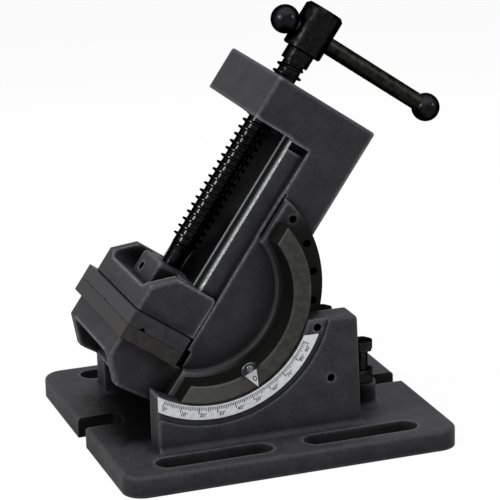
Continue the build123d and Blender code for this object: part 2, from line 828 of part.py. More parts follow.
pieces = {
    "base_casting": base_casting(),
    "scale_plate": scale_plate(),
    "stop_bolt_near": stop_bolt(-stop_y),
    "stop_bolt_far": stop_bolt(stop_y),
    "stop_lock_nut_near": stop_nut(-stop_y),
    "stop_lock_nut_far": stop_nut(stop_y),
    "tilt_lock_bolt_right": tilt_lock_bolt(lock_angles[0]),
    "tilt_lock_bolt_left": tilt_lock_bolt(lock_angles[1]),
    "vise_body": tilted(vise_body()),
    "bearing_rib_near": tilted(bearing_rib_near()),
    "bearing_rib_far": tilted(bearing_rib_far()),
    "fixed_jaw_plate": tilted(fixed_jaw_plate()),
    "fixed_jaw_plate_screws": tilted(plate_screws(fixed_plate_front, -1)),
    "pointer": tilted(pointer()),
    "pointer_cap": tilted(pointer_cap()),
    "pointer_screw": tilted(pointer_screw()),
    "movable_jaw": tilted(movable_jaw()),
    "movable_jaw_plate": tilted(movable_jaw_plate()),
    "movable_jaw_plate_screws": tilted(plate_screws(movable_plate_front, 1)),
    "jaw_keeper_plate": tilted(keeper_plate()),
    "jaw_keeper_screws": tilted(keeper_screws()),
    "screw_retainer": tilted(screw_retainer()),
    "lead_screw": tilted(lead_screw()),
    "handle_bar": tilted(handle_bar()),
    "handle_ball_upper": tilted(handle_ball(handle_high, -1)),
    "handle_ball_lower": tilted(handle_ball(handle_low, 1)),
}

for name, piece in pieces.items():
    export_step(piece, f"parts/{name}.step")
    print(name, len(piece.solids()), round(piece.volume))
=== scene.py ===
import logging
import math
from dataclasses import dataclass
from enum import Enum

import bmesh
import bpy
from mathutils import Matrix, Vector


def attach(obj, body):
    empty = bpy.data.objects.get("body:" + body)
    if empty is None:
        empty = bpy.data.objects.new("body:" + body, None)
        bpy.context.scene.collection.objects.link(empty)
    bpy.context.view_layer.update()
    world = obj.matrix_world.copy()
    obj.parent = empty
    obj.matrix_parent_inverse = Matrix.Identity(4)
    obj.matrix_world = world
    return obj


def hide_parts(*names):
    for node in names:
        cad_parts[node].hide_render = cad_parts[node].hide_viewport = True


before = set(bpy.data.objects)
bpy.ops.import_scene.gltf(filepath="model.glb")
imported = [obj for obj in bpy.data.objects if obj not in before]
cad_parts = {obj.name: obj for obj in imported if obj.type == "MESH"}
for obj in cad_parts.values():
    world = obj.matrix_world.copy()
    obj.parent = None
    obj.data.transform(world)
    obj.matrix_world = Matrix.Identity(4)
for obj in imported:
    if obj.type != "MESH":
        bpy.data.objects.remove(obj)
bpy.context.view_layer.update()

LOG = logging.getLogger("angle_vise")
MM = 0.001
ACROSS = Vector((0, 1, 0))
LENGTHWISE = Vector((1, 0, 0))
WHITE = "#ffffff"
FONT_SIZE_PER_HEIGHT = 1.35  # Size of the built-in font for each millimetre of its figures' height.

Socket = bpy.types.NodeSocket
Value = Socket | float


def linear(hex_colour: str) -> tuple[float, float, float, float]:
    """Turn an sRGB hex colour into Blender's linear colour.

    Args:
        hex_colour: Six hex digits with a leading hash.

    Returns:
        Linear red, green, blue and an alpha of one.
    """
    channels = [int(hex_colour[place:place + 2], 16) / 255 for place in (1, 3, 5)]
    curve = [c / 12.92 if c <= 0.04045 else ((c + 0.055) / 1.055) ** 2.4 for c in channels]
    return curve[0], curve[1], curve[2], 1.0


def add_node(tree: bpy.types.NodeTree, kind: str, links: dict[str | int, object] | None = None,
             **settings: object) -> bpy.types.Node:
    """Add a node to a tree with its settings and links.

    Args:
        tree: The node tree to add to.
        kind: The node's type name.
        links: Input name or number to an output socket or to a plain value.
        settings: Attributes of the node.

    Returns:
        The new node.
    """
    node = tree.nodes.new(kind)
    for name, value in settings.items():
        setattr(node, name, value)
    for key, value in (links or {}).items():
        if isinstance(value, Socket):
            tree.links.new(value, node.inputs[key])
        else:
            node.inputs[key].default_value = value
    return node


class Anchor(Enum):
    """Which point of a printed text lies on its place: how it is aligned across and upwards."""

    START = ("LEFT", "TOP_BASELINE")
    END = ("RIGHT", "TOP_BASELINE")
    MIDDLE = ("CENTER", "CENTER")


class Tick(Enum):
    """The kinds of tick on the scale: how far out each ends and how wide it is, in millimetres."""

    SHORT = (66.9, 0.48)
    FIVE = (67.7, 0.48)
    TEN = (69.1, 0.56)


@dataclass(frozen=True)
class Bed:
    """The vise body's own directions: u along the bed, n square to its top."""

    pivot: tuple[float, float, float] = (-40.5, 0.0, 102.5)
    tilt_degrees: float = 55.0

    def matrix(self) -> Matrix:
        """Return the matrix from bed millimetres to world metres."""
        turn = Matrix.Rotation(-math.radians(self.tilt_degrees), 4, "Y")
        return Matrix.Scale(MM, 4) @ Matrix.Translation(self.pivot) @ turn

    def along(self) -> Vector:
        """Return the world direction of u."""
        angle = math.radians(self.tilt_degrees)
        return Vector((math.cos(angle), 0, math.sin(angle)))

    def normal(self) -> Vector:
        """Return the world direction of n."""
        angle = math.radians(self.tilt_degrees)
        return Vector((-math.sin(angle), 0, math.cos(angle)))


BED = Bed()


class Surface:
    """A material's node tree under construction, with its common parts."""

    OPEN_SAMPLES = 8
    BEVEL_SAMPLES = 6
    MOTTLE = (0.38, 0.62)
    NOISE = (0.3, 0.7)

    def __init__(self, name: str) -> None:
        """Start an empty material.

        Args:
            name: The material's name.
        """
        self.material = bpy.data.materials.new(name)
        self.material.use_nodes = True
        self.tree = self.material.node_tree
        self.tree.nodes.clear()
        self.shader = add_node(self.tree, "ShaderNodeBsdfPrincipled")
        add_node(self.tree, "ShaderNodeOutputMaterial", {"Surface": self.shader.outputs[0]})
        self.place = add_node(self.tree, "ShaderNodeTexCoord").outputs["Object"]

    def noise(self, size_mm: float, detail: float = 3.0, roughness: float = 0.55) -> Socket:
        """Add noise whose blobs are about size_mm across.

        Args:
            size_mm: Size of one blob in millimetres.
            detail: Octaves of finer noise.
            roughness: Share of the finer octaves.

        Returns:
            The noise's value.
        """
        node = add_node(self.tree, "ShaderNodeTexNoise", {
            "Vector": self.place, "Scale": 1 / (size_mm * MM), "Detail": detail, "Roughness": roughness})
        return node.outputs["Fac"]

    def spread(self, value: Socket, low: float, high: float, out_low: Value = 0.0,
               out_high: Value = 1.0) -> Socket:
        """Map a value from one span to another, clamped.

        Args:
            value: The value to map.
            low: Start of the span it comes from.
            high: End of the span it comes from.
            out_low: Start of the span it goes to.
            out_high: End of the span it goes to.

        Returns:
            The mapped value.
        """
        node = add_node(self.tree, "ShaderNodeMapRange", {
            "Value": value, "From Min": low, "From Max": high, "To Min": out_low, "To Max": out_high})
        return node.outputs["Result"]

    def math(self, operation: str, first: Value, second: Value = 0.0) -> Socket:
        """Combine two values.

        Args:
            operation: Name of the Math node's operation.
            first: First value or socket.
            second: Second value or socket.

        Returns:
            The result.
        """
        return add_node(self.tree, "ShaderNodeMath", {0: first, 1: second}, operation=operation).outputs[0]

    def mix(self, amount: Value, first: Socket | tuple, second: Socket | tuple) -> Socket:
        """Mix two colours.

        Args:
            amount: Share of the second colour.
            first: First colour or socket.
            second: Second colour or socket.

        Returns:
            The mixed colour.
        """
        node = add_node(self.tree, "ShaderNodeMix", {0: amount, 6: first, 7: second}, data_type="RGBA")
        return node.outputs[2]

    def mottle(self, pattern: Socket, dark: str, light: str, span: tuple[float, float] = MOTTLE) -> Socket:
        """Lay two shades over a noise, so that most places have one or the other.

        Args:
            pattern: The noise.
            dark: Shade of its low places, as sRGB hex.
            light: Shade of its high places, as sRGB hex.
            span: Values of the noise between which the shades blend.

        Returns:
            The mottled colour.
        """
        return self.mix(self.spread(pattern, *span), linear(dark), linear(light))

    def vary(self, pattern: Socket, least: float, most: float) -> Socket:
        """Let a number follow a noise from its least to its most."""
        return self.spread(pattern, *self.NOISE, least, most)

    def along(self, direction: Vector) -> Socket:
        """Measure the place along a direction, in millimetres from the tilt axis.

        Args:
            direction: Unit direction in the world.

        Returns:
            The measured distance.
        """
        offset = add_node(self.tree, "ShaderNodeVectorMath", {0: self.place, 1: Vector(BED.pivot) * MM},
                          operation="SUBTRACT").outputs[0]
        length = add_node(self.tree, "ShaderNodeVectorMath", {0: offset, 1: direction},
                          operation="DOT_PRODUCT").outputs["Value"]
        return self.math("DIVIDE", length, MM)

    def within(self, value: Socket, low: float, high: float) -> Socket:
        """Tell whether a value lies between two limits.

        Args:
            value: The value to test.
            low: Its lower limit.
            high: Its upper limit.

        Returns:
            One where it does, and zero elsewhere.
        """
        above = self.math("GREATER_THAN", value, low)
        below = self.math("LESS_THAN", value, high)
        return self.math("MULTIPLY", above, below)

    def openness(self, reach_mm: float, low: float, high: float) -> Socket:
        """Measure how open a place is, from zero deep in a hollow to one in the clear.

        Args:
            reach_mm: How far off a wall still counts.
            low: Share of open directions that is taken as a hollow.
            high: Share of open directions that is taken as clear.

        Returns:
            The measured openness.
        """
        node = add_node(self.tree, "ShaderNodeAmbientOcclusion", {"Distance": reach_mm * MM},
                        samples=self.OPEN_SAMPLES)
        return self.spread(node.outputs["AO"], low, high)

    def edges(self, reach_mm: float, low: float, high: float) -> Socket:
        """Measure how near a place is to an outer edge, from zero on flat ground to one on the edge.

        Args:
            reach_mm: How far off an edge still counts.
            low: Share of clear directions into the solid that is taken as an edge.
            high: Share of clear directions into the solid that is taken as flat ground.

        Returns:
            The measured nearness.
        """
        node = add_node(self.tree, "ShaderNodeAmbientOcclusion", {"Distance": reach_mm * MM},
                        samples=self.OPEN_SAMPLES, inside=True, only_local=True)
        return self.spread(node.outputs["AO"], low, high, 1, 0)

    def bump(self, height: Socket, depth_mm: float, strength: float, edge_mm: float) -> None:
        """Give the shader a bumpy normal that also rounds off sharp edges.

        Args:
            height: Height from 0 to 1.
            depth_mm: Height of a full bump in millimetres.
            strength: How strongly the bump tells.
            edge_mm: Radius that sharp edges seem to have, in millimetres.
        """
        rounded = add_node(self.tree, "ShaderNodeBevel", {"Radius": edge_mm * MM}, samples=self.BEVEL_SAMPLES)
        node = add_node(self.tree, "ShaderNodeBump", {
            "Height": height, "Distance": depth_mm * MM, "Strength": strength, "Normal": rounded.outputs[0]})
        self.tree.links.new(node.outputs["Normal"], self.shader.inputs["Normal"])

    def set(self, **values: Value | tuple) -> None:
        """Set or link the shader's sockets.

        Args:
            values: Socket names, with underscores for their spaces, and a value or a socket for each.
        """
        for name, value in values.items():
            socket = self.shader.inputs[name.replace("_", " ")]
            if isinstance(value, Socket):
                self.tree.links.new(value, socket)
            else:
                socket.default_value = value


@dataclass(frozen=True)
class Finish:
    """A real finish that can be laid on pieces."""

    name: str

    def build(self) -> bpy.types.Material:
        """Return the finished material."""
        raise NotImplementedError(self.name)


@dataclass(frozen=True)
class CastingPaint(Finish):
    """Charcoal machine enamel, sprayed on sand-cast iron.

    The grain of the sand shows as a low, soft texture. Its edges are lightened, partly as wear of the
    paint and partly as a painted highlight, and its hollows are darkened as painted shade.
    """

    name: str = "charcoal_enamel_on_sand_casting"
    dark: str = "#222224"
    light: str = "#2b2b2d"
    # Near black, painted into the hollows as shade.
    hollow_shade: str = "#030303"
    # Edge colour: wear of the paint, and a painted highlight on the edges.
    worn_and_lit: str = "#5e5e60"
    roughness: float = 0.52
    smoother: float = 0.08
    rougher: float = 0.1
    gloss: float = 0.06
    # Moulding sand is about 0.3 mm, and its grain is drawn coarser so that it shows. A pit is some grains
    # wide, and a wave is as wide as a place where the mould gave way.
    grain_mm: float = 0.8
    pit_mm: float = 2.4
    pit_roughness: float = 0.6
    pit_share: float = 0.65
    wave_mm: float = 14.0
    relief_mm: float = 0.28
    relief_strength: float = 0.85
    hollow_mm: float = 28.0
    hollow_low: float = 0.42
    hollow_high: float = 0.82
    edge_reach_mm: float = 3.0
    edge_low: float = 0.58
    edge_high: float = 0.9
    edge_wear_and_highlight: float = 1.0
    least_wear: float = 0.3
    chipped_span: tuple[float, float] = (0.3, 0.6)
    edge_radius_mm: float = 0.9

    def coat(self, surface: Surface) -> tuple[Socket, Socket]:
        """Lay the paint's grain, pits and waves, its edge wear and painted highlight, and its painted shade
        on a surface.

        Args:
            surface: The material under construction.

        Returns:
            The paint's colour and its roughness.
        """
        wave = surface.noise(self.wave_mm)
        pit = surface.noise(self.pit_mm, roughness=self.pit_roughness)
        grain = surface.noise(self.grain_mm, roughness=self.pit_roughness)
        tone = surface.math("MULTIPLY", surface.math("ADD", wave, pit), 0.5)
        colour = surface.mottle(tone, self.dark, self.light)
        # Edges are lightened, partly as wear of the paint and partly as a painted highlight.
        chipped = surface.spread(pit, *self.chipped_span, self.least_wear * self.edge_wear_and_highlight, self.edge_wear_and_highlight)
        edge = surface.edges(self.edge_reach_mm, self.edge_low, self.edge_high)
        rubbed_and_lit = surface.math("MULTIPLY", edge, chipped)
        colour = surface.mix(rubbed_and_lit, colour, linear(self.worn_and_lit))
        # Hollows, corners and creases are darkened to near black as painted shade.
        open_share = surface.openness(self.hollow_mm, self.hollow_low, self.hollow_high)
        colour = surface.mix(open_share, linear(self.hollow_shade), colour)
        rough = surface.vary(pit, self.roughness - self.smoother, self.roughness + self.rougher)
        height = surface.math("ADD", surface.math("MULTIPLY", pit, self.pit_share),
                              surface.math("MULTIPLY", grain, 1 - self.pit_share))
        surface.bump(height, self.relief_mm, self.relief_strength, self.edge_radius_mm)
        surface.set(Specular_IOR_Level=self.gloss)
        return colour, rough

    def build(self) -> bpy.types.Material:
        """Make the material of the painted casting.

        Returns:
            The finished material.
        """
        surface = Surface(self.name)
        colour, rough = self.coat(surface)
        surface.set(Base_Color=colour, Roughness=rough)
        return surface.material


@dataclass(frozen=True)
class BasePaint(CastingPaint):
    """The same enamel on the base, with painted shade between the cheeks, under the body."""

    name: str = "charcoal_enamel_on_base_casting"
    dark: str = "#232325"
    light: str = "#2d2d30"
    edge_wear_and_highlight: float = 0.5
    hollow_low: float = 0.3
    hollow_high: float = 0.75
    under_reach_mm: float = 60.0
    under_low: float = 0.42
    under_high: float = 0.76
    # Where the painted shade under the body reaches, across and along the base.
    shade_aside: tuple[float, float] = (47.0, 58.0)
    shade_left: tuple[float, float] = (-50.5, -38.5)
    shade_right: tuple[float, float] = (30.0, 55.0)
    shade_drift: float = 14.0

    def coat(self, surface: Surface) -> tuple[Socket, Socket]:
        """Lay the paint, then the painted shade between the cheeks.

        Args:
            surface: The material under construction.

        Returns:
            The colour and the roughness.
        """
        colour, rough = super().coat(surface)
        # Between the cheeks and under the body, the base is darkened to near black as painted shade.
        drift = surface.math("MULTIPLY", surface.noise(self.wave_mm), self.shade_drift)
        aside = surface.math("ADD", surface.math("ABSOLUTE", surface.along(ACROSS)), drift)
        outside = surface.spread(aside, *self.shade_aside)
        length = surface.math("ADD", surface.along(LENGTHWISE), drift)
        beside = surface.math("MAXIMUM", surface.spread(length, *self.shade_left, 1, 0),
                              surface.spread(length, *self.shade_right))
        open_share = surface.openness(self.under_reach_mm, self.under_low, self.under_high)
        out_of_shade = surface.math("MAXIMUM", outside, surface.math("MULTIPLY", beside, open_share))
        return surface.mix(out_of_shade, linear(self.hollow_shade), colour), rough


@dataclass(frozen=True)
class BodyPaint(CastingPaint):
    """The same enamel on the tilting body, with its ways left as ground steel under a film of oil.

    The ways' tops are painted near black as a dark reflection, with a painted highlight along each way's
    edge towards the middle. The near way's outer bevel is scraped steel with a painted highlight, and the
    half rings' turned faces carry painted shade, and painted light at their low end.
    """

    name: str = "charcoal_enamel_with_ground_ways"
    dark: str = "#212123"
    light: str = "#29292b"
    # The way tops' near black is a painted dark reflection on the ground steel.
    way_reflection_colour: str = "#030303"
    way_roughness: float = 0.8
    way_level: tuple[float, float] = (-1.9, 1.0)
    way_start: float = -45.6
    way_inner: float = 29.0
    way_outer: float = 39.8
    inner_margin: float = 0.05
    outer_margin: float = 0.03
    bevel_margin: float = 0.02
    outer_bevel: float = 2.5
    # Bare metal on the near bevel: scraped steel with a painted highlight.
    scraped_highlight_colour: str = "#434446"
    scraped_roughness: float = 0.34
    scraped_fade: float = 1.5
    # A pale strip along each way's edge towards the middle, as a painted highlight.
    inner_highlight_width: float = 3.4
    inner_highlight_colour: str = "#5a5a5c"
    # The ring faces are painted near black as shade, and lightened at their low end as painted light.
    ring_shade_colour: str = "#0b0c0a"
    ring_inner: float = 48.6
    ring_face: float = 47.9
    ring_shade_span: tuple[float, float] = (-34.0, -17.0)
    ring_shade_share: float = 0.35
    ring_light_span: tuple[float, float] = (-62.0, -22.0)
    ring_light_share: float = 0.5

    def build(self) -> bpy.types.Material:
        """Make the material of the body, its ways and its half rings.

        Returns:
            The finished material.
        """
        surface = Surface(self.name)
        colour, rough = self.coat(surface)
        across = surface.along(ACROSS)
        aside = surface.math("ABSOLUTE", across)
        ring_shade, rubbed_and_lit = self.ring_shares(surface, aside)
        # Painted shade on the ring faces, then painted light at their low end.
        colour = surface.mix(ring_shade, colour, linear(self.ring_shade_colour))
        colour = surface.mix(rubbed_and_lit, colour, linear(self.worn_and_lit))
        way = self.on_ways(surface, aside)
        # The near bevel is drawn as bare metal: scraped steel, and a painted highlight along it.
        bright = surface.math("MULTIPLY", way, self.on_bevel(surface, across, aside))
        # The strip towards the middle is a painted highlight.
        inner_highlight = surface.within(aside, self.way_inner - self.inner_margin, self.way_inner + self.inner_highlight_width)
        top = surface.mix(inner_highlight, linear(self.way_reflection_colour), linear(self.inner_highlight_colour))
        steel = surface.mix(bright, top, linear(self.scraped_highlight_colour))
        smooth = surface.spread(bright, 0, 1, self.way_roughness, self.scraped_roughness)
        surface.set(Base_Color=surface.mix(way, colour, steel), Metallic=bright,
                    Roughness=surface.spread(way, 0, 1, rough, smooth))
        return surface.material

    def on_ways(self, surface: Surface, aside: Socket) -> Socket:
        """Tell whether a place is on one of the two ways.

        Args:
            surface: The material under construction.
            aside: Distance from the middle plane.

        Returns:
            One on the ways, and zero elsewhere.
        """
        level = surface.within(surface.along(BED.normal()), *self.way_level)
        ahead = surface.math("GREATER_THAN", surface.along(BED.along()), self.way_start)
        band = surface.within(aside, self.way_inner - self.inner_margin, self.way_outer + self.outer_margin)
        return surface.math("MULTIPLY", surface.math("MULTIPLY", level, ahead), band)

    def on_bevel(self, surface: Surface, across: Socket, aside: Socket) -> Socket:
        """Measure the scraped steel and painted highlight on the near way's outer bevel.

        Args:
            surface: The material under construction.
            across: Place across the vise, which is negative on the near side.
            aside: Distance from the middle plane.

        Returns:
            One at the bevel's outer edge, down to zero at its inner edge and elsewhere.
        """
        start = self.way_outer - self.outer_bevel
        outer = surface.within(aside, start, self.way_outer - self.bevel_margin)
        near = surface.math("LESS_THAN", across, 0.0)
        fade = surface.spread(aside, start, start + self.scraped_fade)
        return surface.math("MULTIPLY", surface.math("MULTIPLY", outer, near), fade)

    def ring_shares(self, surface: Surface, aside: Socket) -> tuple[Socket, Socket]:
        """Measure the painted shade and painted light on the turned faces of the half rings.

        Args:
            surface: The material under construction.
            aside: Distance from the middle plane.

        Returns:
            How much painted shade and how much painted light a place has, both zero off the faces.
        """
        level, length = surface.along(BED.normal()), surface.along(BED.along())
        distance = surface.math("SQRT", surface.math("ADD", surface.math("MULTIPLY", level, level),
                                                     surface.math("MULTIPLY", length, length)))
        face = surface.math("MULTIPLY", surface.math("GREATER_THAN", aside, self.ring_face),
                            surface.math("GREATER_THAN", distance, self.ring_inner))
        ring_shade = surface.spread(level, *self.ring_shade_span, 1, self.ring_shade_share)
        rubbed_and_lit = surface.spread(length, *self.ring_light_span, self.ring_light_share, 0)
        return surface.math("MULTIPLY", face, ring_shade), surface.math("MULTIPLY", face, rubbed_and_lit)


@dataclass(frozen=True)
class BlackSteel(Finish):
    """Ground or turned steel under black oxide: a thin dark skin with a sheen, cloudy where oil has dried."""

    dark: str
    light: str
    roughness: float
    gloss: float
    # Oil dries in patches of a few millimetres.
    patch_mm: float = 4.0
    patch_detail: float = 5.0
    patch_roughness: float = 0.6
    smoother: float = 0.06
    rougher: float = 0.1
    # Tool marks are under 0.1 mm apart, and are drawn coarser so that they show.
    grain_mm: float = 0.6
    grain_depth_mm: float = 0.015
    grain_strength: float = 0.6
    edge_radius_mm: float = 0.3
    metal: float = 0.0
    limb: str = WHITE

    def skin(self, surface: Surface, patch: Socket) -> Socket:
        """Return the skin's colour, mottled where oil has dried."""
        return surface.mottle(patch, self.dark, self.light)

    def build(self) -> bpy.types.Material:
        """Make the material of the blackened steel.

        Returns:
            The finished material.
        """
        surface = Surface(self.name)
        patch = surface.noise(self.patch_mm, self.patch_detail, self.patch_roughness)
        surface.set(
            Base_Color=self.skin(surface, patch), Metallic=self.metal, Specular_Tint=linear(self.limb),
            Roughness=surface.vary(patch, self.roughness - self.smoother, self.roughness + self.rougher),
            Specular_IOR_Level=self.gloss)
        surface.bump(surface.noise(self.grain_mm), self.grain_depth_mm, self.grain_strength,
                     self.edge_radius_mm)
        return surface.material


@dataclass(frozen=True)
class RibSteel(BlackSteel):
    """The bearing ribs, warm grey: painted light low down, edge wear and painted highlight, painted shade on
    flanks.
    """

    name: str = "black_oxide_on_turned_rib"
    dark: str = "#252523"
    light: str = "#31312e"
    roughness: float = 0.5
    gloss: float = 0.08
    smoother: float = 0.0
    # Colour of the painted light low down, and of edge wear with a painted highlight.
    worn_and_lit: str = "#4c4c4c"
    # Near black, painted on the flanks as shade.
    flank_shade: str = "#070706"
    face_reach: float = 62.6
    low_span: tuple[float, float] = (-62.0, -5.0)
    low_light: float = 0.5
    edge_reach_mm: float = 1.2
    edge_low: float = 0.55
    edge_high: float = 0.8
    edge_wear_and_highlight: float = 0.7

    def skin(self, surface: Surface, patch: Socket) -> Socket:
        """Lay the painted light, the edge wear and highlight, and the painted shade of the flanks on the
        skin.

        Args:
            surface: The material under construction.
            patch: The noise that mottles the skin.

        Returns:
            The skin's colour.
        """
        colour = super().skin(surface, patch)
        # The low end is lightened as painted light, and the edges by wear and a painted highlight.
        low = surface.spread(surface.along(BED.along()), *self.low_span, self.low_light, 0)
        edge = surface.edges(self.edge_reach_mm, self.edge_low, self.edge_high)
        rubbed_and_lit = surface.math("MAXIMUM", low, surface.math("MULTIPLY", edge, self.edge_wear_and_highlight))
        colour = surface.mix(rubbed_and_lit, colour, linear(self.worn_and_lit))
        # Off the turned face, the flanks are painted near black as shade.
        aside = surface.math("ABSOLUTE", surface.along(ACROSS))
        return surface.mix(surface.math("GREATER_THAN", aside, self.face_reach), linear(self.flank_shade), colour)


@dataclass(frozen=True)
class PaleEnamel(Finish):
    """Satin pale enamel, baked on thin sheet, as a graduated scale has: a little cloudy from handling."""

    name: str = "satin_pale_enamel_on_sheet"
    dark: str = "#a3a4a8"
    light: str = "#b9babe"
    roughness: float = 0.45
    rougher: float = 0.1
    gloss: float = 0.3
    # Fingertips leave smears of a few millimetres.
    cloud_mm: float = 3.5
    cloud_detail: float = 5.0
    cloud_roughness: float = 0.65
    cloud_span: tuple[float, float] = (0.35, 0.65)
    relief_mm: float = 0.01
    relief_strength: float = 0.3
    edge_radius_mm: float = 0.2

    def build(self) -> bpy.types.Material:
        """Make the material of the enamelled sheet.

        Returns:
            The finished material.
        """
        surface = Surface(self.name)
        cloud = surface.noise(self.cloud_mm, self.cloud_detail, self.cloud_roughness)
        surface.set(
            Base_Color=surface.mottle(cloud, self.dark, self.light, self.cloud_span),
            Roughness=surface.vary(cloud, self.roughness, self.roughness + self.rougher),
            Specular_IOR_Level=self.gloss)
        surface.bump(cloud, self.relief_mm, self.relief_strength, self.edge_radius_mm)
        return surface.material


@dataclass(frozen=True)
class PrintingInk(Finish):
    """Screen-printed ink, thin and matt, a little uneven where it was pressed."""

    dark: str
    light: str
    roughness: float = 0.6
    gloss: float = 0.2
    # The printing screen's mesh is under 0.2 mm, and its thin spots are drawn coarser so that they show.
    patch_mm: float = 1.5
    patch_detail: float = 2.0

    def build(self) -> bpy.types.Material:
        """Make the material of the ink.

        Returns:
            The finished material.
        """
        surface = Surface(self.name)
        patch = surface.noise(self.patch_mm, self.patch_detail)
        surface.set(Base_Color=surface.mix(patch, linear(self.dark), linear(self.light)),
                    Roughness=self.roughness, Specular_IOR_Level=self.gloss)
        return surface.material


BLACK_ON_MOVING_PLATE = BlackSteel("black_oxide_on_ground_plate", "#222224", "#2b2b2d", 0.46, 0.08)
BROWNED_ON_FIXED_PLATE = BlackSteel("browned_oxide_on_ground_plate", "#201f1f", "#292827", 0.46, 0.08)
BLACK_ON_FASTENERS = BlackSteel("black_oxide_on_fasteners", "#191a19", "#2d2e2b", 0.34, 0.1,
                                metal=1.0, limb="#262724")
OILED_ON_SCREW = BlackSteel("oiled_black_oxide_on_screw", "#111111", "#1b1b1b", 0.15, 0.1,
                            metal=1.0, limb="#202020")
BLACK_ON_HANDLE = BlackSteel("black_oxide_on_handle", "#121311", "#252623", 0.42, 0.07,
                             patch_mm=5.0, metal=1.0, limb="#1c1e1c")
POLISHED_ON_BALLS = BlackSteel("polished_black_oxide_on_balls", "#141416", "#1d1d20", 0.27, 0.09,
                               metal=1.0, limb="#161618")
RUBBED_ON_POINTER_SCREW = BlackSteel("rubbed_oxide_on_pointer_screw", "#3c3d3f", "#77797b", 0.25, 0.1,
                                     metal=1.0, limb="#8a8a8a")
BLACK_ON_POINTER_CAP = BlackSteel("black_oxide_on_pointer_cap", "#1c1d1d", "#383a3a", 0.3, 0.1,
                                  metal=1.0, limb="#404040")
BLACK_INK = PrintingInk("black_printing_ink", "#0a0a0b", "#141416")
RED_INK = PrintingInk("red_printing_ink", "#4e1a20", "#5e242c")


class FinishShelf:
    """The finishes in use, each made once and shared by its pieces."""

    def __init__(self) -> None:
        """Start with no finish made."""
        self.made: dict[str, bpy.types.Material] = {}

    def take(self, finish: Finish) -> bpy.types.Material:
        """Return a finish's material, which is made the first time.

        Args:
            finish: The finish that is wanted.

        Returns:
            Its material.
        """
        if finish.name not in self.made:
            self.made[finish.name] = finish.build()
        return self.made[finish.name]

    def dress(self, finish: Finish, *nodes: str) -> None:
        """Give the objects of some CAD nodes one finish.

        Args:
            finish: Their new finish.
            nodes: The nodes' names.
        """
        for node in nodes:
            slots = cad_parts[node].data.materials
            slots.clear()
            slots.append(self.take(finish))
            LOG.info("%s: %s", node, finish.name)


def new_piece(name: str, bm: bmesh.types.BMesh, body: str, material: bpy.types.Material,
              smooth_degrees: float = 35.0) -> bpy.types.Object:
    """Turn a finished bmesh into a piece that rides on a body.

    Args:
        name: The piece's name.
        bm: Its mesh, in world metres.
        body: The CAD body it moves with.
        material: Its material.
        smooth_degrees: Edges sharper than this stay hard.

    Returns:
        The new object.
    """
    bmesh.ops.recalc_face_normals(bm, faces=bm.faces)
    for face in bm.faces:
        face.smooth = True
    for edge in bm.edges:
        if len(edge.link_faces) == 2 and edge.calc_face_angle(0) > math.radians(smooth_degrees):
            edge.smooth = False
    mesh = bpy.data.meshes.new(name)
    bm.to_mesh(mesh)
    bm.free()
    mesh.materials.append(material)
    piece = bpy.data.objects.new(name, mesh)
    bpy.context.scene.collection.objects.link(piece)
    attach(piece, body)
    LOG.info("%s: %d faces on %s", name, len(mesh.polygons), body)
    return piece


def add_print(bm: bmesh.types.BMesh, text: str, height: float, weight: float, proud: float,
              anchor: Anchor, place: Matrix) -> None:
    """Add a printed text to a mesh, as thin raised shapes.

    Args:
        bm: The mesh to add to.
        text: What is printed.
        height: Height of its figures, in millimetres.
        weight: How much their strokes are widened on each side, in millimetres.
        proud: Height of the ink over its ground, in millimetres.
        anchor: Which point of the text lies on its place.
        place: Matrix from the flat text to its place.
    """
    curve = bpy.data.curves.new(text, "FONT")
    curve.body = text
    curve.size = height * FONT_SIZE_PER_HEIGHT
    curve.extrude = proud
    curve.offset = weight
    curve.align_x, curve.align_y = anchor.value
    flat = bpy.data.objects.new(text, curve)
    bpy.context.scene.collection.objects.link(flat)
    bpy.context.view_layer.update()
    mesh = bpy.data.meshes.new_from_object(flat.evaluated_get(bpy.context.evaluated_depsgraph_get()))
    bpy.data.objects.remove(flat)
    mesh.transform(place)
    bm.from_mesh(mesh)
    bpy.data.meshes.remove(mesh)


